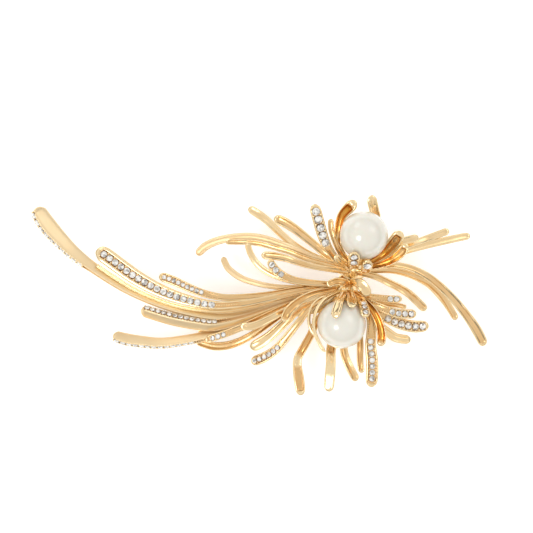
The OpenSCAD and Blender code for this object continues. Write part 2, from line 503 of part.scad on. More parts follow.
// Two springy legs with a dimple each, which snap into the arm's notches.
module clip_catch() {
    leg_w = 3 * clip_sheet;
    leg_t = clip_sheet / 2;
    leg_y = arm_w / 2 + side_gap;
    color(steel) on_clip() {
        translate([notch_x - leg_w / 2, -leg_y - leg_t, base_z - leg_t])
            cube([leg_w, 2 * (leg_y + leg_t), leg_t]);
        for (side = [-1, 1]) {
            translate([notch_x - leg_w / 2, side * (leg_y + leg_t / 2) - leg_t / 2, off_rest])
                cube([leg_w, leg_t, base_z - leg_t - off_rest]);
            translate([notch_x, side * leg_y, off_rest]) intersection() {
                cylinder(r = dimple_r, h = clip_sheet);
                translate([-dimple_r, side > 0 ? -dimple_r : 0, 0])
                    cube([2 * dimple_r, dimple_r, clip_sheet]);
            }
        }
    }
}

// The plate soldered on the base, which carries both hearts.
module back_plate() {
    rim = 0.5;
    back_share = 0.7;
    front_share = 0.9;
    color(gold) translate([0, 0, plate_z]) linear_extrude(clip_sheet) {
        translate([lower_heart.x, lower_heart.y]) circle(d = heart_d + 2 * rim);
        translate([upper_heart.x, upper_heart.y]) circle(d = heart_d + 2 * rim);
        rotate(clip_turn) translate([-half_clip * back_share, -clip_width * back_share / 2])
            square([half_clip * (back_share + front_share), clip_width * back_share]);
    }
}

// ---- Small petals cast together ----

module upper_buds() { color(gold) cast_together(UPPER_BUDS); }
module lower_buds() { color(gold) cast_together(LOWER_BUDS); }
module heart_tips() { color(gold) cast_together(HEART_TIPS); }

clip_base();
clip_arm();
clip_pin();
clip_bow_spring();
clip_catch();
back_plate();
upper_heart();
lower_heart();
upper_pearl();
lower_pearl();
upper_buds();
lower_buds();
heart_tips();
tail_stones();
lower_stones();
upper_stones();
for (p = PETALS) color(gold) petal(p);
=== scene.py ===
# %% [markdown]
# # A hair ornament of two pearl flowers
#
# The real object is cast and soldered: about fifty thin metal petals fan out from two small domed
# hearts, each heart holds an imitation pearl on a peg, rows of clear stones are let into some petals,
# and a small spring clip is soldered behind. This lesson builds the visible surfaces round a packed
# CAD frame, which already holds every piece at its real place and size.

# %% Load the frame
import math
import random

import bmesh
import bpy
from mathutils import Matrix, Vector, noise


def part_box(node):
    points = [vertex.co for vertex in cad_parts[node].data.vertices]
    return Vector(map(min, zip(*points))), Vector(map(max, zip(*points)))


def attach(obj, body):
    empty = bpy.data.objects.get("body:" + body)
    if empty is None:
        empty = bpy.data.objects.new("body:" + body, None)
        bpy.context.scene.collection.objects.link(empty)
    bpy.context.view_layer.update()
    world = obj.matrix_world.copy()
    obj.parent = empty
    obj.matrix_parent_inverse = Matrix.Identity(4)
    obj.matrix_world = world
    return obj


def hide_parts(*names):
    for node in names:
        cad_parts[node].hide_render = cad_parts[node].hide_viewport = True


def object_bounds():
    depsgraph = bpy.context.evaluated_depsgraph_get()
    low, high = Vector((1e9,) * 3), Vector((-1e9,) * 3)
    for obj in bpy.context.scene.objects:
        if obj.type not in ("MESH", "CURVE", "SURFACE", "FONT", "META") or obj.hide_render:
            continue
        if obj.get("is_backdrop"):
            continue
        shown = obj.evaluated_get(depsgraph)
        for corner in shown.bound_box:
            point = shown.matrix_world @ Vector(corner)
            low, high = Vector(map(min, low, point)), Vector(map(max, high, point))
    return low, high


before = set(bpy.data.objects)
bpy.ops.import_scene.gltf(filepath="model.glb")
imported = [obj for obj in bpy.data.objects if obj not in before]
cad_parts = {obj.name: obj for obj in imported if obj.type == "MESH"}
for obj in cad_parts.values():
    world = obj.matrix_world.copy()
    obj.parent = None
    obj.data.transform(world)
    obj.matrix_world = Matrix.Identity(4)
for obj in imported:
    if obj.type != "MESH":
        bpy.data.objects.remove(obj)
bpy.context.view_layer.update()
MM = 0.001
print("frame holds", len(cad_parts), "nodes")

# %% [markdown]
# ## Camera
#
# The ornament lies on its back, so it is seen face on from straight above. A long lens far away keeps
# the near petals from looking larger than the far ones, which is how jewellery is usually shown.

# %% Camera above the table
LENS = 150
SENSOR = 36
VIEW_SPAN = 133.25 * MM
FOCUS_HEIGHT = 9 * MM
VIEW_CENTRE = Vector((-2.1, 10.3)) * MM

camera = bpy.data.objects.new("camera", bpy.data.cameras.new("camera"))
bpy.context.scene.collection.objects.link(camera)
camera.data.lens = LENS
camera.data.sensor_width = SENSOR
camera.data.clip_start = 0.01
camera.location = (VIEW_CENTRE.x, VIEW_CENTRE.y, FOCUS_HEIGHT + VIEW_SPAN * LENS / SENSOR)
bpy.context.scene.camera = camera
bpy.context.scene.view_settings.view_transform = "Standard"
print("camera stands", round(camera.location.z, 3), "m above the table")

# %% [markdown]
# ## Light
#
# Gold has almost no colour of its own: what it shows is its surroundings, tinted. A white tent of light
# gives it an even pale tone, and a narrow dark band low down gives the thin dark lines that make
# polished metal read as metal. The tent is the world itself, with a brightness that depends only on
# height: each stop is a height, from 0 at the horizon to 1 overhead, and the brightness there. What the
# camera sees behind the ornament is plain white.

# %% White tent with a dark band
world = bpy.data.worlds.new("tent")
bpy.context.scene.world = world
world.use_nodes = True
tree = world.node_tree
tree.nodes.clear()
where = tree.nodes.new("ShaderNodeTexCoord")
split = tree.nodes.new("ShaderNodeSeparateXYZ")
tree.links.new(where.outputs["Generated"], split.inputs[0])
tent = tree.nodes.new("ShaderNodeValToRGB")
TENT_TINT = (1, 0.99, 0.97)
TENT_STOPS = [
    (0.0, 0.55), (0.07, 0.45), (0.1, 0.03), (0.145, 0.03),
    (0.19, 0.5), (0.45, 0.88), (0.7, 1.0), (1.0, 0.84)]
while len(tent.color_ramp.elements) < len(TENT_STOPS):
    tent.color_ramp.elements.new(0.5)
for stop, (height, bright) in zip(tent.color_ramp.elements, TENT_STOPS):
    stop.position = height
    stop.color = (*(bright * tint for tint in TENT_TINT), 1)
tree.links.new(split.outputs["Z"], tent.inputs[0])
tent_light = tree.nodes.new("ShaderNodeBackground")
tree.links.new(tent.outputs[0], tent_light.inputs["Color"])
backdrop = tree.nodes.new("ShaderNodeBackground")
backdrop.inputs["Color"].default_value = (1, 1, 1, 1)
path = tree.nodes.new("ShaderNodeLightPath")
either = tree.nodes.new("ShaderNodeMixShader")
tree.links.new(path.outputs["Is Camera Ray"], either.inputs[0])
tree.links.new(tent_light.outputs[0], either.inputs[1])
tree.links.new(backdrop.outputs[0], either.inputs[2])
out = tree.nodes.new("ShaderNodeOutputWorld")
tree.links.new(either.outputs[0], out.inputs[0])
print("tent has", len(TENT_STOPS), "bands of brightness")

# %% [markdown]
# Three round softboxes complete it: a key lamp for the highlight on each pearl, a fill lamp opposite, and
# a rim lamp that picks out the upper edges. Each is given by its direction, distance and size in metres,
# and its power in watts.

# %% Softboxes


def lamp(name, towards, distance, size, watts):
    """A round softbox that looks at the ornament from the direction given."""
    data = bpy.data.lights.new(name, "AREA")
    data.shape = "DISK"
    data.size = size
    data.energy = watts
    box = bpy.data.objects.new(name, data)
    box.location = Vector(towards).normalized() * distance
    box.rotation_mode = "QUATERNION"
    box.rotation_quaternion = Vector(towards).to_track_quat("Z", "Y")
    bpy.context.scene.collection.objects.link(box)


lamp("key", (-0.44, -0.22, 0.87), 0.9, 0.36, 1.6)
lamp("fill", (0.7, 0.5, 0.75), 1.2, 0.6, 0.9)
lamp("rim", (-0.5, 0.85, 0.5), 1.1, 0.5, 0.6)

# %% [markdown]
# ## Shader expressions
#
# A material is a small sum. Wrapping a socket in a class whose operators add Math nodes lets the sum be
# written the way it would be on paper, and one method adds any other kind of node.

# %% Sockets that can be used in sums


class Wire:
    """A value socket of a material, to be used in sums."""

    def __init__(self, shop, socket):
        self.shop = shop
        self.socket = socket

    def _sum(self, kind, first, second):
        return self.shop.add("ShaderNodeMath", {"operation": kind}, {0: first, 1: second})

    def __add__(self, other):
        return self._sum("ADD", self, other)

    def __sub__(self, other):
        return self._sum("SUBTRACT", self, other)

    def __rsub__(self, other):
        return self._sum("SUBTRACT", other, self)

    def __mul__(self, other):
        return self._sum("MULTIPLY", self, other)

    __radd__ = __add__
    __rmul__ = __mul__


class Workshop:
    """Builds one material."""

    def __init__(self, name):
        self.material = bpy.data.materials.new(name)
        self.material.use_nodes = True
        self.tree = self.material.node_tree
        self.tree.nodes.clear()
        out = self.tree.nodes.new("ShaderNodeOutputMaterial")
        self.shader = self.tree.nodes.new("ShaderNodeBsdfPrincipled")
        self.tree.links.new(self.shader.outputs[0], out.inputs[0])

    def add(self, kind, settings=None, inputs=None, output=0):
        """Adds a node, with its settings first and then its inputs, and returns one of its outputs."""
        node = self.tree.nodes.new(kind)
        for key, value in (settings or {}).items():
            setattr(node, key, value)
        for key, value in (inputs or {}).items():
            self.plug(value, node.inputs[key])
        return Wire(self, node.outputs[output])

    def plug(self, value, socket):
        """Links a wire to a socket, or sets it to a plain value."""
        if isinstance(value, Wire):
            self.tree.links.new(value.socket, socket)
        else:
            socket.default_value = value

    def place(self):
        """Places on the piece, in metres."""
        return self.add("ShaderNodeTexCoord", output="Object")

    def noise(self, grain, detail=2.0, rough=0.5):
        """Cloudy values from 0 to 1, whose clouds are about grain metres across."""
        return self.add("ShaderNodeTexNoise", None, {
            "Vector": self.place(), "Scale": 1 / grain, "Detail": detail, "Roughness": rough})

    def mix(self, share, first, second):
        """A colour between two colours."""
        node = self.tree.nodes.new("ShaderNodeMix")
        node.data_type = "RGBA"
        for key, value in ((0, share), (6, first), (7, second)):
            self.plug(value, node.inputs[key])
        return Wire(self, node.outputs[2])

    def spread(self, value, low, high):
        """Stretches the part of a value between low and high over 0 to 1."""
        return self.add("ShaderNodeMapRange", {"clamp": True}, {
            "Value": value, "From Min": low, "From Max": high})

    def bump(self, height, depth, strength=1.0):
        """A surface that stands up by height times depth, in metres."""
        return self.add("ShaderNodeBump", None, {
            "Height": height, "Distance": depth, "Strength": strength}, "Normal")

    def finish(self, **inputs):
        """Sets or links the shader's sockets, named with _ for each space, and returns the material."""
        for key, value in inputs.items():
            self.plug(value, self.shader.inputs[key.replace("_", " ")])
        return self.material


def rgb(red, green, blue):
    """A colour socket's value, wholly opaque."""
    return (red, green, blue, 1.0)


print("shader helpers ready")

# %% [markdown]
# ## Gold plate
#
# The petals are brass, polished by tumbling and then plated pale gold. Tumbling leaves the broad faces a
# little satiny and the edges bright. The channels get painted shade, darker and warmer, for the light that
# bounces to and fro inside them. A painted attribute named "recess" says how deep in a channel a point
# lies.

# %% Gold for the petals
PALE_GOLD = rgb(0.94, 0.755, 0.465)
WARM_GOLD = rgb(0.91, 0.67, 0.35)
# Painted shade: the colour painted into the channels, where bounced light comes out deeper and warmer.
PAINTED_CHANNEL_SHADE = rgb(0.67, 0.30, 0.045)
CLOUD_GRAIN = 6 * MM
TUMBLE_GRAIN = 1.2 * MM
SCRATCH_GRAIN = 0.2 * MM
TUMBLE_DEPTH = 0.03 * MM


def gold(name, satin=0.17, pale=PALE_GOLD):
    """Plated gold with a roughness of about satin: cloudy, finely tumbled, with painted shade in its
    channels.
    """
    shop = Workshop(name)
    recess = shop.add("ShaderNodeAttribute", {"attribute_name": "recess"}, output="Fac")
    clouds = shop.noise(CLOUD_GRAIN, 3.0)
    tumbled = shop.noise(TUMBLE_GRAIN, 4.0, 0.6)
    scratches = shop.noise(SCRATCH_GRAIN, 2.0)
    tone = shop.mix(shop.spread(clouds, 0.35, 0.75) * 0.35, pale, WARM_GOLD)
    # Painted shade: the deeper a point lies in a channel, the darker and warmer it is painted.
    tone = shop.mix(recess, tone, PAINTED_CHANNEL_SHADE)
    rough = satin + (tumbled - 0.5) * 0.12 + (scratches - 0.5) * 0.04 + recess * 0.05
    return shop.finish(
        Base_Color=tone, Metallic=1.0, Roughness=rough,
        Normal=shop.bump(tumbled + scratches * 0.04, TUMBLE_DEPTH, 0.5))


petal_gold = gold("petal_gold")
# Satin roughness, and a pale tone painted darker than the other petals' as shade against the key lamp's
# highlight.
satin_gold = gold("satin_gold", satin=0.42, pale=rgb(0.84, 0.66, 0.41))
heart_gold = gold("heart_gold", satin=0.22)
bead_gold = gold("bead_gold", satin=0.12)
print("gold finishes:", petal_gold.name, satin_gold.name, heart_gold.name, bead_gold.name)

# %% [markdown]
# ## Pearl
#
# An imitation pearl is a bead dipped in many coats of lacquer: a soft body colour and a clear bright skin
# over it. The skin is the shader's coat, and a Layer Weight node paints a warmer rim, a painted reflection
# of the gold petals round the pearl.

# %% Pearl lacquer
LACQUER_RIPPLE = 0.008 * MM


def pearl_lacquer():
    shop = Workshop("pearl_lacquer")
    rim = shop.add("ShaderNodeLayerWeight", None, {"Blend": 0.35}, "Facing")
    clouds = shop.noise(4 * MM, 2.0)
    skin = shop.noise(0.7 * MM, 3.0)
    body = shop.mix(shop.spread(clouds, 0.3, 0.7) * 0.6, rgb(0.80, 0.78, 0.70), rgb(0.76, 0.735, 0.64))
    # Painted reflection: the rim is painted warmer, for the gold petals that the pearl's edge mirrors.
    tone = shop.mix(rim * 0.6, body, rgb(0.79, 0.70, 0.56))
    return shop.finish(
        Base_Color=tone, Roughness=0.32 + (skin - 0.5) * 0.1,
        Coat_Weight=1.0, Coat_Roughness=0.11, Coat_IOR=1.65,
        Subsurface_Weight=0.12, Subsurface_Scale=0.001, Normal=shop.bump(skin, LACQUER_RIPPLE, 0.4))


pearl_finish = pearl_lacquer()
print("pearl finish:", pearl_finish.name)

# %% [markdown]
# ## Stones
#
# The stones are clear and cut with flat facets. Facets next to each other show very different parts of
# the surroundings, so at this size a stone looks mottled white and grey. Real glass this small would
# need very many samples to come out clean, so an opaque mirror-smooth finish in cells of light and dark
# stands in for it.

# %% Cut stones
FACET_GRAIN = 0.5 * MM


def cut_stone():
    shop = Workshop("cut_stone")
    cells = shop.add(
        "ShaderNodeTexVoronoi", None, {"Vector": shop.place(), "Scale": 1 / FACET_GRAIN}, "Color")
    grey = shop.add("ShaderNodeSeparateColor", None, {0: cells})
    tone = shop.mix(shop.spread(grey, 0.05, 0.6), rgb(0.31, 0.29, 0.26), rgb(0.94, 0.93, 0.89))
    return shop.finish(
        Base_Color=tone, Metallic=0.15, Roughness=0.05 + grey * 0.06, Coat_Weight=1.0, Coat_Roughness=0.02,
        IOR=2.0)


stone_finish = cut_stone()
print("stone finish:", stone_finish.name)

# %% [markdown]
# ## Clip metal
#
# The clip is pressed from sheet that was brushed lengthwise before it was plated. Stretching a noise
# along X turns its grains into fine brush lines, which vary the roughness and the bump.

# %% Plated clip metal
BRUSH_STRETCH = (0.06, 1.0, 1.0)
BRUSH_GRAIN = 0.2 * MM
BRUSH_DEPTH = 0.01 * MM


def clip_plate():
    shop = Workshop("clip_plate")
    grain = shop.add("ShaderNodeMapping", None, {"Vector": shop.place(), "Scale": BRUSH_STRETCH})
    lines = shop.add("ShaderNodeTexNoise", None, {"Vector": grain, "Scale": 1 / BRUSH_GRAIN, "Detail": 3.0})
    clouds = shop.noise(5 * MM, 3.0)
    tone = shop.mix(shop.spread(clouds, 0.3, 0.8) * 0.5, rgb(0.86, 0.65, 0.36), rgb(0.78, 0.55, 0.26))
    return shop.finish(
        Base_Color=tone, Metallic=1.0, Roughness=0.26 + (lines - 0.5) * 0.2,
        Normal=shop.bump(lines, BRUSH_DEPTH, 0.5))


clip_finish = clip_plate()
print("clip finish:", clip_finish.name)

# %% [markdown]
# ## The table
#
# A plain white table under the ornament. It glows a little, which stands for the light that a white tent
# throws back on it, so its shadows stay faint.

# %% Table top


def table_paint():
    shop = Workshop("table_paint")
    clouds = shop.noise(50 * MM, 2.0)
    return shop.finish(
        Base_Color=shop.mix(clouds * 0.3, rgb(0.9, 0.9, 0.9), rgb(0.87, 0.87, 0.87)), Roughness=0.7,
        Emission_Color=rgb(1, 1, 1), Emission_Strength=0.42)


def new_piece(name, bm, material, body=None, replaced=(), smooth=True):
    """Makes an object of a finished bmesh, hangs it on the body given, and hides the frame nodes it
    replaces.
    """
    mesh = bpy.data.meshes.new(name)
    for face in bm.faces:
        face.smooth = smooth
    bm.to_mesh(mesh)
    bm.free()
    mesh.materials.append(material)
    obj = bpy.data.objects.new(name, mesh)
    bpy.context.scene.collection.objects.link(obj)
    if body:
        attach(obj, body)
    if replaced:
        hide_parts(*replaced)
    return obj


TABLE_HALF = 1.5
bm = bmesh.new()
bmesh.ops.create_grid(bm, x_segments=1, y_segments=1, size=TABLE_HALF)
new_piece("table_top", bm, table_paint())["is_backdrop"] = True
print("table laid")

# %% [markdown]
# ## Reading a petal off the frame
#
# Each petal of the frame is a plain faceted sweep: rings of eight corners, from its tip to its root. The
# fine petal follows the same rings, so it fills the same place. From the eight corners of a ring come its
# middle, its half width across the petal's face and its half depth under the face.

# %% Pearls and hearts as landmarks
RING_SIDES = 8
# The frame's section is a squared oval whose corners all stop a little short of its full width.
CORNER_REACH = math.cos(math.pi / RING_SIDES) ** 0.8
# Corners closer than this, in metres, are one corner.
SAME_PLACE = 1e-6

plate_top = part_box("upper_heart")[0].z
pearls = {}
for which in ("upper", "lower"):
    low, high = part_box(which + "_pearl")
    pearls[which] = (low + high) / 2
    pearl_radius = (high.x - low.x) / 2
print("pearl radius in mm:", round(pearl_radius / MM, 2))

UP = Vector((0, 0, 1))
# Most petals face up. These face the directions given, and one faces away from a pearl.
SIDE_ON = {
    "tail_longest": Vector((-0.45, -0.78, 0.42)),
    "tail_main_pave": Vector((0, 0.1, 1)),
    "tail_short_pave": Vector((0, 0.1, 1)),
    "tail_mid_pave": Vector((0, 0.75, 0.65)),
    "tail_lower_pave": Vector((0.1, -0.86, 0.5)),
    "spur_pave": Vector((-0.2, 0.1, 1)),
}
ROUND_PEARL = {"claw_left": "lower"}


def looks(name, at):
    """The way a petal's face looks at a point."""
    if name in ROUND_PEARL:
        return (at - pearls[ROUND_PEARL[name]]).normalized()
    return SIDE_ON.get(name, UP).normalized()


def rings_of(node):
    """The rings of a frame petal, tip first, as lists of corner places."""
    bm = bmesh.new()
    bm.from_mesh(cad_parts[node].data)
    bmesh.ops.remove_doubles(bm, verts=bm.verts, dist=SAME_PLACE)
    bm.verts.ensure_lookup_table()
    corners = [v.co.copy() for v in bm.verts]

    def crowding(v):
        return sorted((c - v.co).length for c in corners)[RING_SIDES - 1]

    seed = min(bm.verts, key=crowding)
    level = sorted(bm.verts, key=lambda v: (v.co - seed.co).length)[:RING_SIDES]
    seen = set(level)
    rings = []
    while level:
        rings.append([v.co.copy() for v in level])
        level = list({e.other_vert(v) for v in level for e in v.link_edges} - seen)
        seen.update(level)
    bm.free()
    return rings


def stations_of(node):
    """Middle, half width and half depth at each ring that has its full size."""
    rings = [r for r in rings_of(node) if len(r) == RING_SIDES]
    middles = [sum(r, Vector()) / RING_SIDES for r in rings]
    found = []
    for i, ring in enumerate(rings):
        heading = (middles[min(i + 1, len(rings) - 1)] - middles[max(i - 1, 0)]).normalized()
        across = heading.cross(looks(node, middles[i])).normalized()
        out = across.cross(heading)
        width = max(abs((c - middles[i]).dot(across)) for c in ring) / CORNER_REACH
        depth = max(abs((c - middles[i]).dot(out)) for c in ring) / CORNER_REACH
        found.append((middles[i], width, depth))
    return found


PETAL_WORDS = ("tail", "spur", "curl", "spray", "hook", "crown", "right", "side", "claw", "foot")
petal_nodes = [n for n in sorted(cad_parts) if n.split("_")[0] in PETAL_WORDS and n != "tail_stones"]
raw = {n: stations_of(n) for n in petal_nodes}
print(len(raw), "petals read; rings in each:", sorted({len(s) for s in raw.values()}))

# %% [markdown]
# ## A petal's middle line
#
# Between the frame's rings the middle line is drawn as a smooth curve, with its distance from the tip as
# the measure. Stations stand close together in the round tip, where the outline turns quickly, and about
# a third of a millimetre apart elsewhere.

# %% Smooth curve through the stations
TIP_SHARES = [math.sin(math.radians(a)) for a in (8, 32, 58, 90)]
STATION_PITCH = 0.38 * MM
TIP_STEPS = 12
TIP_STRETCH = 1.25
LEAST_LEAN = 0.08
MOST_LEAN = 0.22
SWAY = 7 * MM
STEADY = ("tail_longest", "side_first", "side_second", "upper_buds_0", "upper_buds_1", "lower_buds_0")


def ease(low, high, value):
    """Goes smoothly from 0 to 1 as the value goes from low to high."""
    t = min(max((value - low) / (high - low), 0), 1)
    return t * t * (3 - 2 * t)


class Stem:
    """A petal's middle line with its width and depth, measured in metres from the tip."""

    def __init__(self, name, stations, face=None):
        self.name = name
        self.face = face
        whim = random.Random(name)
        self.lean = 0 if name.endswith("pave") or name in STEADY else whim.uniform(LEAST_LEAN, MOST_LEAN)
        self.phase = whim.uniform(0, math.tau)
        self.points = [s[0] for s in stations]
        shares = TIP_SHARES + [1] * len(stations)
        self.widths = [s[1] / k for s, k in zip(stations, shares)]
        self.depths = [s[2] / k for s, k in zip(stations, shares)]
        self.marks = [0.0]
        for a, b in zip(self.points, self.points[1:]):
            self.marks.append(self.marks[-1] + (b - a).length)
        self.length = self.marks[-1]
        self.tip = min(self.widths[0] * TIP_STRETCH, self.length / 3)

    def _spot(self, s):
        """Which stretch a distance lies in, and how far along it."""
        s = min(max(s, 0), self.length)
        i = 0
        while i < len(self.marks) - 2 and self.marks[i + 1] < s:
            i += 1
        return i, (s - self.marks[i]) / (self.marks[i + 1] - self.marks[i])

    def _blend(self, values, s):
        """The values given at the rings, drawn through smoothly."""
        i, t = self._spot(s)
        last = len(values) - 1

        def slope(k):
            a, b = max(k - 1, 0), min(k + 1, last)
            return (values[b] - values[a]) / (self.marks[b] - self.marks[a])

        span = self.marks[i + 1] - self.marks[i]
        p, q, m, n = values[i], values[i + 1], slope(i) * span, slope(i + 1) * span
        return (p * (2 * t**3 - 3 * t**2 + 1) + m * (t**3 - 2 * t**2 + t)
                + q * (3 * t**2 - 2 * t**3) + n * (t**3 - t**2))

    def middle(self, s):
        return self._blend(self.points, s)

    def width(self, s):
        return self._blend(self.widths, s)

    def depth(self, s):
        return self._blend(self.depths, s)

    def axes(self, s):
        """Across the petal's face, along it towards the root, and out of it."""
        step = 0.15 * MM
        heading = (self.middle(min(s + step, self.length)) - self.middle(max(s - step, 0))).normalized()
        look = self.face(self.middle(s)) if self.face else looks(self.name, self.middle(s))
        across = heading.cross(look).normalized()
        if self.lean:
            across = Matrix.Rotation(self.lean_at(s), 3, heading) @ across
        return across, heading, across.cross(heading)

    def lean_at(self, s):
        """A hand-bent petal leans a little to one side and then to the other."""
        calm = ease(0, 3 * MM, self.length - s)
        return self.lean * calm * math.sin(self.phase + s / SWAY)

    def stations(self):
        """Distances from the tip, each with the share of the full width that it has."""
        turns = [90 * k / TIP_STEPS for k in range(TIP_STEPS + 1)]
        found = [(self.tip * (1 - math.cos(math.radians(a))), math.sin(math.radians(a))) for a in turns]
        count = int((self.length - self.tip) / STATION_PITCH)
        for k in range(1, count + 1):
            found.append((self.tip + (self.length - self.tip) * k / count, 1.0))
        return found


stems = {n: Stem(n, s) for n, s in raw.items()}
longest = max(stems.values(), key=lambda s: s.length)
print("longest petal:", longest.name, round(longest.length / MM, 1), "mm")

# %% [markdown]
# ## Buds and heart tips
#
# The short petals round each heart are cast as small clusters, so a cluster is one frame node and its
# rings can't be told apart. Their guide points are written out again here, from tip to root, in
# millimetres over the plate: x, y, height and width.

# %% Short petals of the castings
CLUSTERS = {
    "upper_buds": [
        (Vector((0, -0.75, 0.66)), 0.5, "PAVE", [
            (19.4, 13.9, 13.2, 2.6), (19.4, 12.2, 11.6, 3), (19.5, 10.4, 8.6, 2.6), (19.8, 9.8, 4, 1.8)]),
        (Vector((0.05, -0.75, 0.66)), 0.5, "PAVE", [
            (22.8, 11.9, 11, 2.3), (22.7, 10.6, 9.8, 2.7), (22.3, 9.2, 7.4, 2.4), (21, 9.2, 3.5, 1.6)]),
        (UP, 0.5, "SATIN", [
            (14.9, 13.1, 8, 1.9), (16, 11.8, 6.8, 2), (17.4, 10.6, 5, 1.8), (19.2, 10.2, 2.8, 1.5)]),
    ],
    "lower_buds": [
        (Vector((0.3, 0.1, 1)), 0.5, "PAVE", [
            (22.2, -2.2, 12, 2.3), (22, -0.4, 10.8, 2.5), (21.2, 2, 7.5, 2.3), (19.2, 3.8, 3.6, 1.6)]),
        ("lower", 0.5, "SATIN", [
            (14.6, -2.4, 15, 2.3), (14.9, -1, 14.6, 2.4), (15.8, 1.4, 12, 2.2), (17, 3.6, 7, 1.8),
            (17.2, 4.2, 3.2, 1.5)]),
        ("lower", 0.7, "SATIN", [
            (10.2, -7, 6, 1.1), (9, -5.5, 6, 1.1), (8.4, -3, 5.8, 1.1), (9, 0, 5.2, 1.1),
            (11.2, 2.4, 4.4, 1.1), (16.2, 4, 2.8, 1.1)]),
        ("lower", 0.5, "SATIN", [
            (18.6, 0.2, 13, 2.4), (18.8, 2, 10.6, 2.5), (18.6, 3.8, 5.5, 1.9), (18.2, 4.2, 3.2, 1.5)]),
    ],
    "heart_tips": [
        (UP, 0.5, "GUTTER", [
            (12.8, 5.7, 7, 1.7), (15.2, 6.6, 7.4, 2), (17.5, 6.2, 6.4, 2), (18.2, 5, 3, 1.5)]),
        (UP, 0.5, "GUTTER", [
            (16.1, 8.2, 6.4, 1.5), (17, 7.2, 5.8, 1.6), (18, 6.2, 4, 1.4), (18, 5.4, 2.8, 1.3)]),
        (UP, 0.5, "SHALLOW", [
            (22.9, 2.8, 6.5, 2.2), (22.5, 4.3, 7, 2.7), (21.2, 6, 7, 2.6), (19.4, 6.4, 5.4, 2),
            (18.4, 5.2, 3, 1.5)]),
    ],
}
PEARL_ROOM = 1.0 * MM
# A cast bud is a little thinner than its guide points say, which keeps its domed tip in the frame's box.
BUD_DEPTH = 0.89
RINGS_PER_STRETCH = 2
RING_GAP = 0.1


def kept_off(at):
    """The frame pushes every petal's middle line off the pearls, and so must this."""
    for pearl in (pearls["lower"], pearls["upper"]):
        away = at - pearl
        if away.length < pearl_radius + PEARL_ROOM:
            at = pearl + away.normalized() * (pearl_radius + PEARL_ROOM)
    return at


def sampled(points, depth_share):
    """Stations along guide points, like the frame's: close together at the tip, then even."""
    guide = [Vector(p) for p in points]
    last = len(guide) - 1

    def at(u):
        i = min(int(u), last - 1)
        a, b, c, d = (guide[max(i - 1, 0)], guide[i], guide[i + 1], guide[min(i + 2, last)])
        t = u - i
        value = b + ((c - a) + ((2 * a - 5 * b + 4 * c - d) + (3 * b - 3 * c + d - a) * t) * t) * (t / 2)
        spot = kept_off(value.to_3d() * MM + UP * plate_top)
        return spot, value.w * MM / 2

    first = (at(1)[0] - at(0)[0]).length
    round_end = at(0)[1] / first
    turns = [(1 - math.cos(math.asin(k))) * round_end for k in TIP_SHARES]
    places = [k / RINGS_PER_STRETCH for k in range(1, last * RINGS_PER_STRETCH + 1)]
    turns += [u for u in places if u > round_end + RING_GAP]
    found = []
    for k, u in enumerate(turns):
        spot, width = at(u)
        share = TIP_SHARES[k] if k < len(TIP_SHARES) else 1
        found.append((spot, width * share, width * share * depth_share))
    return found


def face_of(look):
    """The way a bud's face looks at a point: away from the pearl named, or along a direction."""
    if isinstance(look, str):
        return lambda at: (at - pearls[look]).normalized()
    return lambda at: look.normalized()


bud_stems = {}
for node, petals in CLUSTERS.items():
    for k, (look, depth_share, _, points) in enumerate(petals):
        name = f"{node}_{k}"
        bud_stems[name] = Stem(name, sampled(points, depth_share * BUD_DEPTH), face_of(look))
print("short petals read:", len(bud_stems))

# %% [markdown]
# ## Where the stones sit
#
# Each stone of the frame is a plain turned shape. The fine stone is a small brilliant: a flat table, a
# ring of crown facets, a thin girdle and a pointed pavilion, all flat so that every facet mirrors its own
# part of the tent. Where a stone sits and which way it looks come from the frame: its island gives the
# place and size, and the petal under it gives the directions.

# %% Find every stone and the petal that holds it
# How much deeper than flush the stones of two petals are set.
DEEP_SET = {"tail_longest": 0.28 * MM, "tail_lower_pave": 0.22 * MM}
SEARCH_STEP = 0.1 * MM
PAVED = [n for n in stems if n.endswith("pave") or n in ("tail_longest", "side_first", "side_second")]
holders = {n: stems[n] for n in PAVED}
holders.update({n: bud_stems[n] for n in ("upper_buds_0", "upper_buds_1", "lower_buds_0")})


def islands_of(node):
    """The corner places of each of a node's separate solids."""
    bm = bmesh.new()
    bm.from_mesh(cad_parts[node].data)
    bmesh.ops.remove_doubles(bm, verts=bm.verts, dist=SAME_PLACE)
    left = set(bm.verts)
    found = []
    while left:
        group = [left.pop()]
        for v in group:
            for e in v.link_edges:
                other = e.other_vert(v)
                if other in left:
                    left.remove(other)
                    group.append(other)
        found.append([v.co.copy() for v in group])
    bm.free()
    return found


samples = []
for name, stem in holders.items():
    for k in range(int(stem.length / SEARCH_STEP)):
        s = k * SEARCH_STEP
        across, along, out = stem.axes(s)
        samples.append((stem.middle(s) + out * stem.depth(s), name, s, across, along, out))

stones = []
for node in ("tail_stones", "lower_stones", "upper_stones"):
    for spots in islands_of(node):
        middle = sum(spots, Vector()) / len(spots)
        face, name, s, across, along, out = min(samples, key=lambda p: (p[0] - middle).length_squared)
        radius = max((p - middle).cross(out).length for p in spots)
        seat = middle + out * ((face - middle).dot(out) - DEEP_SET.get(name, 0))
        stones.append(dict(
            node=node, holder=name, s=s, at=seat, size=radius * 2, axes=(across, along, out)))
counts = {n: sum(1 for st in stones if st["holder"] == n) for n in holders}
print(len(stones), "stones:", counts)

# %% [markdown]
# ## The section of a petal
#
# Cut across, a petal is a small casting: two bright rims with a channel between them in front, rounded
# flanks, and a shallow hollow behind that saves metal. What varies from petal to petal, and along one
# petal, is how low the channel's floor lies and where its walls stand. Half of the section is written as
# a few corners and mirrored.

# %% Half sections
# Height of the rims' tops, in half depths, and the drop to a floor that counts as wholly recessed.
RIM_TOP = 0.98
FULL_RECESS = 1.25


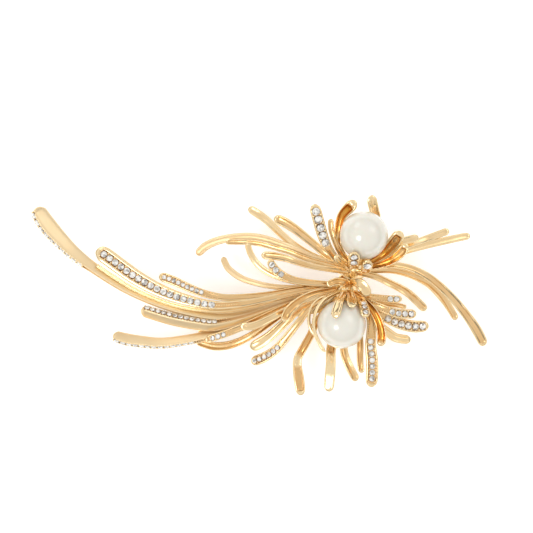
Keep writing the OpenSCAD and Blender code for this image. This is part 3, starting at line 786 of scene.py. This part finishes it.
def half_section(floor, wall, lip, bulge):
    """Corners of half a section from the middle of the face to the middle of the back.

    Each is (share of half width, share of half depth, how deep in the channel)."""
    tall = RIM_TOP - floor
    sunk = min(max(tall / FULL_RECESS, 0), 1)
    face = [(x * wall, floor + bulge * (1 - x * x), sunk) for x in (0, 0.3, 0.6, 0.88)]
    face += [(wall + 0.02, floor + 0.06 * tall, sunk), ((wall + lip) / 2, floor + 0.5 * tall, sunk * 0.7),
             (lip - 0.04, floor + 0.9 * tall, sunk * 0.25), (lip, RIM_TOP, 0)]
    rim = [((lip + 0.86) / 2, 0.975, 0), (0.86, 0.91, 0), (0.93, 0.8, 0), (0.98, 0.62, 0), (1.0, 0.3, 0)]
    back = [(1.0, -0.2, 0), (0.98, -0.55, 0), (0.9, -0.82, 0), (0.75, -0.96, 0), (0.55, -0.97, 0.1),
            (0.35, -0.86, 0.3), (0.0, -0.8, 0.4)]
    return face + rim + back


PLAIN = dict(floor=0.42, wall=0.4, lip=0.74, bulge=-0.12)
SHALLOW = dict(floor=0.7, wall=0.46, lip=0.75, bulge=-0.06)
GUTTER = dict(floor=0.2, wall=0.4, lip=0.76, bulge=-0.14)
DEEP_GUTTER = dict(floor=-0.2, wall=0.42, lip=0.77, bulge=-0.2)
SPOON = dict(floor=0.3, wall=0.6, lip=0.72, bulge=0.0)
PAVE = dict(floor=0.36, wall=0.62, lip=0.72, bulge=0.0)
BROAD_PAVE = dict(floor=0.36, wall=0.44, lip=0.56, bulge=0.0)
SATIN = dict(floor=0.78, wall=0.5, lip=0.7, bulge=0.22)
FLAT = dict(floor=0.95, wall=0.6, lip=0.76, bulge=0.02)

SECTIONS = {"PAVE": PAVE, "SATIN": SATIN, "GUTTER": GUTTER, "SHALLOW": SHALLOW}
print("half a section has", len(half_section(**PLAIN)), "corners")

# %% [markdown]
# Which petal has which section was chosen petal by petal, as a caster would carve each wax. Some change
# on the way from tip to root, such as a flat tip that opens into a channel. For these a list gives
# sections at shares of the length. Slow noise makes each channel wander a little.

# %% Sections along each petal
SECTION_OF = {n: PAVE if n in PAVED else PLAIN for n in stems}
for n in ("claw_right", "right_claw", "right_short", "foot_band", "curl_inner"):
    SECTION_OF[n] = GUTTER
for n in ("spray_long", "hook", "side_third", "tail_thin", "curl_double", "claw_left"):
    SECTION_OF[n] = SATIN
for n in ("spray_top", "right_upper", "right_pale", "right_long", "tail_inner_plain"):
    SECTION_OF[n] = SHALLOW

SECTION_OF["tail_main_pave"] = BROAD_PAVE
SATIN_PETALS = ("tail_longest", "tail_mid_pave", "tail_lower_pave", "spray_long", "hook")

# How far past its last stone a channel goes on before it narrows, in millimetres.
ROW_AFTER = {"tail_main_pave": 6}
CHANNEL_END = 2 * MM
WANDER = {"floor": 0.16, "lip": 0.03, "wall": 0.1}

CHANGES = {
    "foot_left": [
        (0, FLAT), (0.03, FLAT), (0.05, SPOON), (0.24, SPOON), (0.26, SATIN), (0.33, SATIN),
        (0.38, GUTTER)],
    "foot_middle": [(0, FLAT), (0.32, FLAT), (0.36, SATIN), (0.42, GUTTER)],
    "crown_claw": [(0, SATIN), (0.06, SATIN), (0.14, DEEP_GUTTER), (0.4, DEEP_GUTTER), (0.6, PLAIN)],
    "claw_right": [(0, SATIN), (0.03, SATIN), (0.1, DEEP_GUTTER), (0.7, DEEP_GUTTER), (0.9, PLAIN)],
    "crown_back": [(0, SATIN), (0.12, SATIN), (0.2, PLAIN), (0.5, SHALLOW)],
    "right_claw": [(0, SATIN), (0.06, SATIN), (0.12, GUTTER), (0.5, DEEP_GUTTER)],
    "right_short": [(0, SATIN), (0.06, SATIN), (0.12, GUTTER), (0.5, DEEP_GUTTER)],
    "tail_broad": [(0, SATIN), (0.2, SHALLOW), (0.5, PLAIN)],
}


def mixed(first, second, t):
    """Measures between those of two sections."""
    return {k: first[k] + (second[k] - first[k]) * t for k in first}


def section_at(name, s, length):
    """The section's measures at a distance from the petal's tip."""
    share = s / length
    if name in holders:
        row_end = max(stone["s"] for stone in stones if stone["holder"] == name)
        after = row_end + ROW_AFTER.get(name, 1) * MM
        return mixed(SECTION_OF[name], PLAIN, ease(after, after + CHANNEL_END, s))
    steps = CHANGES.get(name, [(0, SECTION_OF[name])])
    found = dict(steps[-1][1])
    for (a, first), (b, second) in zip(steps, steps[1:]):
        if share < b:
            found = mixed(first, second, ease(a, b, share))
            break
    drift = noise.noise(Vector((share * 9, len(name) * 3.7, ord(name[-1]))))
    found["floor"] += drift * WANDER["floor"]
    found["lip"] += drift * WANDER["lip"]
    drift = noise.noise(Vector((share * 7, ord(name[0]), len(name) * 5.1)))
    found["wall"] += drift * WANDER["wall"]
    return found


print("petals whose section changes:", sorted(CHANGES))

# %% [markdown]
# ## Rolling a petal
#
# A petal could be drawn with a bevelled curve, but its section changes along it and turns with its face.
# So a flat grid is rolled round the middle line: its columns become the corners of the section and its
# rows the stations. The first and last columns meet and are welded, the first row closes into the tip
# and the last into the root.

# %% Petal builder
# The widest a petal is, as a share of its frame's width.
SIDE_SHARE = 0.985
# The root's end is two more rows, drawn in to these shares of the full width.
ROOT_SHARES = (0.7, 0.0)
# Where the channel opens behind the tip, and how round the tip is, both over the tip's length.
OPENING = (0.15, 0.8)
DOME_END = 1.1
DOME_SHARE = 0.85
CLOSED_TOP = 0.95


def roll(bm, stem, sections):
    """Adds one closed petal to a bmesh, with its channel marked in the recess layer."""
    stations = stem.stations() + [(stem.length, share) for share in ROOT_SHARES]
    corners = len(half_section(**PLAIN)) * 2 - 2
    marks = bm.verts.layers.float.get("recess") or bm.verts.layers.float.new("recess")
    grid = bmesh.ops.create_grid(bm, x_segments=corners, y_segments=len(stations) - 1, size=1)["verts"]
    rows = []
    for s, share in stations:
        half = half_section(**sections(s))
        loop = half + [(-x, y, k) for x, y, k in reversed(half[1:-1])]
        across, _, out = stem.axes(s)
        w, d = stem.width(s) * share * SIDE_SHARE, stem.depth(s) * share * CORNER_REACH
        middle = stem.middle(s)
        opening = ease(*OPENING, s / stem.tip)
        doming = DOME_SHARE * (1 - ease(0, DOME_END, s / stem.tip))
        ring = []
        for x, y, k in loop:
            y = y if y < 0 else y + (max(y, CLOSED_TOP) - y) * (1 - opening)
            y += (math.copysign(math.sqrt(1 - x * x), y) - y) * doming
            ring.append((middle + across * (x * w) + out * (y * d), k * opening))
        rows.append(ring)
    for v in grid:
        column = round((v.co.x + 1) / 2 * corners) % corners
        row = round((v.co.y + 1) / 2 * (len(stations) - 1))
        v.co, v[marks] = rows[row][column]


# Corners of a rolled sheet that are closer than this, in metres, are welded.
WELD_REACH = 2e-6
SLIVER = 1e-7


def weld(bm):
    """Merges corners that meet and turns every face outwards."""
    bmesh.ops.remove_doubles(bm, verts=bm.verts, dist=WELD_REACH)
    bmesh.ops.dissolve_degenerate(bm, edges=bm.edges, dist=SLIVER)
    bmesh.ops.recalc_face_normals(bm, faces=bm.faces)


print("a petal has", len(half_section(**PLAIN)) * 2 - 2, "corners round it")

# %% [markdown]
# ## Every petal
#
# The castings come first, each with its short petals in one piece, and then the long petals, one piece
# each. Every piece stands for the frame's node that it was read from.

# %% Roll every petal
faces_made = 0
for node, petals in CLUSTERS.items():
    bm = bmesh.new()
    for k, (_, _, kind, _) in enumerate(petals):
        name = f"{node}_{k}"
        stem = bud_stems[name]
        SECTION_OF[name] = SECTIONS[kind]
        roll(bm, stem, lambda s: section_at(name, s, stem.length))
    weld(bm)
    new_piece(node + "_cast", bm, petal_gold, "ornament", [node])
for name, stem in stems.items():
    bm = bmesh.new()
    roll(bm, stem, lambda s: section_at(stem.name, s, stem.length))
    weld(bm)
    faces_made += len(bm.faces)
    finish = satin_gold if name in SATIN_PETALS else petal_gold
    new_piece(name + "_petal", bm, finish, "ornament", [name])
print(len(stems), "petals rolled,", faces_made, "faces")

# %% [markdown]
# ## Cutting and setting
#
# A brilliant is three cones: a crown cut off at its table, a thin girdle and a pointed pavilion. There
# are over a hundred, so each has only a few dozen faces. Every one is turned a little differently in its
# seat, as in real work, and so no two glitter alike.

# %% Cut and set the stones
chance = random.Random(11)
# Proportions of a brilliant, over its diameter. Its table and its culet are over its girdle's radius.
GIRDLE_HEIGHT = 0.05
CROWN_HEIGHT = 0.15
PAVILION_DEPTH = 0.36
TABLE_SHARE = 0.56
CULET_SHARE = 0.1
FACETS = 8


def cut(bm, at, size, axes, turn):
    """Adds one brilliant whose girdle lies at the place given."""
    across, along, out = axes
    frame_of_seat = Matrix((across, along, out)).transposed().to_4x4()
    seat = Matrix.Translation(at) @ frame_of_seat @ Matrix.Rotation(turn, 4, "Z")
    girdle = size * 0.5
    lift, rise, sink = size * GIRDLE_HEIGHT, size * CROWN_HEIGHT, size * PAVILION_DEPTH
    bmesh.ops.create_cone(
        bm, cap_ends=True, segments=FACETS, radius1=girdle, radius2=girdle * TABLE_SHARE, depth=rise,
        matrix=seat @ Matrix.Translation((0, 0, lift + rise / 2)))
    half_turn = Matrix.Rotation(math.pi / FACETS, 4, "Z")
    bmesh.ops.create_cone(
        bm, cap_ends=True, segments=FACETS, radius1=girdle * CULET_SHARE, radius2=girdle, depth=sink,
        matrix=seat @ Matrix.Translation((0, 0, -sink / 2)) @ half_turn)
    bmesh.ops.create_cone(
        bm, cap_ends=True, segments=2 * FACETS, radius1=girdle, radius2=girdle, depth=lift,
        matrix=seat @ Matrix.Translation((0, 0, lift / 2)))


for node in ("tail_stones", "lower_stones", "upper_stones"):
    bm = bmesh.new()
    for stone in (s for s in stones if s["node"] == node):
        cut(bm, stone["at"], stone["size"], stone["axes"], chance.uniform(0, math.pi))
    bmesh.ops.recalc_face_normals(bm, faces=bm.faces)
    new_piece(node + "_cut", bm, stone_finish, "ornament", [node], smooth=False)
print("stones cut")

# %% [markdown]
# ## Bead prongs
#
# The setter raises little beads of metal from the rims and pushes them over the girdles. Two stand
# between every pair of stones, smaller ones stand on the rims beside each stone, and a short run
# finishes most rows. There are hundreds, so each is a small sphere of a few dozen faces.

# %% Prongs along every row
BEAD_RUNS = {
    "side_first": 7, "side_second": 8, "side_pave": 8, "foot_pave": 5, "tail_small_pave": 3,
    "tail_mid_pave": 5, "tail_short_pave": 6, "tail_lower_pave": 4, "spur_pave": 3}
RUN_PITCH = 0.62 * MM
FIRST_STOP = 0.3 * MM
# Beads down the middle of the longest row's channel, past its last stone.
MAIN_RUN = 9
MAIN_START = 0.65
# Each kind of bead: its radius over a stone's diameter, and its height over the petal's half depth.
PRONG = (0.17, 0.93)
DEEP_PRONG = (0.2, 0.84)
RIM_BEAD = (0.11, 0.94)
RUN_BEAD = (0.15, 0.9)
MAIN_BEAD = (0.16, 0.62)
# How far aside they stand over the petal's half width, and their limits over a stone's diameter.
PRONG_ASIDE, PRONG_LEAST, PRONG_MOST = 0.62, 0.36, 0.5
RIM_ASIDE, RIM_LEAST = 0.68, 0.56
RUN_ASIDE = 0.5


def bead(bm, stem, s, kind, aside, size):
    """A bead of one kind over a stem, aside from its middle line, for stones of the size given."""
    radius, rise = kind
    across, _, out = stem.axes(s)
    share = math.sqrt(1 - (1 - min(s / stem.tip, 1)) ** 2)
    at = stem.middle(s) + (out * (stem.depth(s) * rise) + across * aside) * share
    bmesh.ops.create_uvsphere(
        bm, u_segments=8, v_segments=6, radius=size * radius, matrix=Matrix.Translation(at))


bead_faces = 0
for name, stem in holders.items():
    row = sorted((s for s in stones if s["holder"] == name), key=lambda s: s["s"])
    size = row[0]["size"]
    pitch = row[1]["s"] - row[0]["s"] if len(row) > 1 else size
    stops = [max(row[0]["s"] - pitch / 2, FIRST_STOP)] + [s["s"] + pitch / 2 for s in row]
    prong = DEEP_PRONG if name in DEEP_SET else PRONG
    bm = bmesh.new()
    for side in (-1, 1):
        for s in stops:
            reach = max(min(stem.width(s) * PRONG_ASIDE, size * PRONG_MOST), size * PRONG_LEAST)
            bead(bm, stem, s, prong, side * reach, size)
        for stone in row:
            edge = max(stem.width(stone["s"]) * RIM_ASIDE, size * RIM_LEAST)
            bead(bm, stem, stone["s"], RIM_BEAD, side * edge, size)
        for k in range(BEAD_RUNS.get(name, 0)):
            s = stops[-1] + RUN_PITCH * (k + 1)
            bead(bm, stem, s, RUN_BEAD, side * stem.width(s) * RUN_ASIDE, size)
    if name == "tail_main_pave":
        for k in range(MAIN_RUN):
            bead(bm, stem, stops[-1] + RUN_PITCH * (k + MAIN_START), MAIN_BEAD, 0, size)
    bead_faces += len(bm.faces)
    new_piece(name + "_beads", bm, bead_gold, "ornament", [])
print(bead_faces, "faces of beads raised")

# %% [markdown]
# ## Pearls
#
# A glued pearl is drilled half through for its peg. Its outline, from the far pole round to the mouth of
# the hole and down the hole's wall, is spun about the line from the pearl to its heart.

# %% Spin both pearls
BORE_RADIUS = 0.65 * MM
BORE_DEPTH = 3.2 * MM
# The hole's mouth is opened out a little: its width over the hole's, and its depth.
MOUTH_SHARE = 1.25
MOUTH_DEPTH = 0.1 * MM
ARC_STEPS = 72
TURN_STEPS = 96
# Where each pearl's stalk stands, in millimetres over the plate.
STALK_FOOT = {"upper": Vector((20, 10, 1.2)), "lower": Vector((17.5, 4.5, 1.2))}
for which, stalk_foot in STALK_FOOT.items():
    centre = pearls[which]
    towards = (stalk_foot * MM + UP * plate_top - centre).normalized()
    mouth = math.asin(BORE_RADIUS / pearl_radius)
    bm = bmesh.new()
    outline = []
    for k in range(ARC_STEPS + 1):
        a = math.pi - (math.pi - mouth * MOUTH_SHARE) * k / ARC_STEPS
        outline.append(Vector((math.sin(a), 0, math.cos(a))) * pearl_radius)
    outline.append(Vector((BORE_RADIUS, 0, pearl_radius * math.cos(mouth) - MOUTH_DEPTH)))
    outline.append(Vector((BORE_RADIUS, 0, pearl_radius - BORE_DEPTH)))
    outline.append(Vector((0, 0, pearl_radius - BORE_DEPTH)))
    verts = [bm.verts.new(p) for p in outline]
    for a, b in zip(verts, verts[1:]):
        bm.edges.new((a, b))
    bmesh.ops.spin(
        bm, geom=bm.verts[:] + bm.edges[:], cent=(0, 0, 0), axis=(0, 0, 1), angle=math.tau,
        steps=TURN_STEPS, use_merge=True)
    weld(bm)
    aim = towards.to_track_quat("Z", "Y").to_matrix().to_4x4()
    bmesh.ops.transform(bm, matrix=Matrix.Translation(centre) @ aim, verts=bm.verts)
    new_piece(which + "_pearl_bead", bm, pearl_finish, "ornament", [which + "_pearl"])
print("pearls spun, radius", round(pearl_radius / MM, 2), "mm")

# %% [markdown]
# ## Hearts, plate and clip
#
# These pieces are turned, sawn or pressed, and the frame already has their true shapes. What it lacks is
# the small softening that tumbling gives every edge. Each is copied, its loose triangles are merged, its
# flat faces are joined, and its sharp edges get a narrow bevel.

# %% Softened copies of the plain pieces
SHARP = math.radians(32)
FLAT_JOIN = math.radians(1)
THIN_EDGE = 0.08 * MM
PLATE_EDGE = 0.12 * MM


def softened(node, material, body, width):
    """A merged and bevelled copy of a frame node."""
    bm = bmesh.new()
    bm.from_mesh(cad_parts[node].data)
    bmesh.ops.remove_doubles(bm, verts=bm.verts, dist=SAME_PLACE)
    bmesh.ops.recalc_face_normals(bm, faces=bm.faces)
    bmesh.ops.dissolve_limit(bm, angle_limit=FLAT_JOIN, verts=bm.verts, edges=bm.edges)
    edges = [e for e in bm.edges if e.is_manifold and e.calc_face_angle(0) > SHARP]
    bmesh.ops.bevel(
        bm, geom=edges, offset=width, offset_type="OFFSET", segments=2, profile=0.5, affect="EDGES",
        material=-1, clamp_overlap=True)
    bmesh.ops.recalc_face_normals(bm, faces=bm.faces)
    for e in bm.edges:
        e.smooth = not e.is_manifold or e.calc_face_angle(0) < SHARP
    return new_piece(node + "_softened", bm, material, body, [node])


for node in ("upper_heart", "lower_heart"):
    softened(node, heart_gold, "ornament", THIN_EDGE)
softened("back_plate", heart_gold, "ornament", PLATE_EDGE)
for node in ("clip_base", "clip_arm", "clip_pin", "clip_bow_spring", "clip_catch"):
    softened(node, clip_finish, "arm" if node == "clip_arm" else "ornament", THIN_EDGE)
print("plain pieces softened")

# %% [markdown]
# ## Sizes and finish
#
# The visible surface has to fill the same box as the frame, so the scene's box is printed.

# %% Print the scene box
low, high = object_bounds()
print("scene box mm:", [round(v / MM, 2) for v in (*low, *high)])
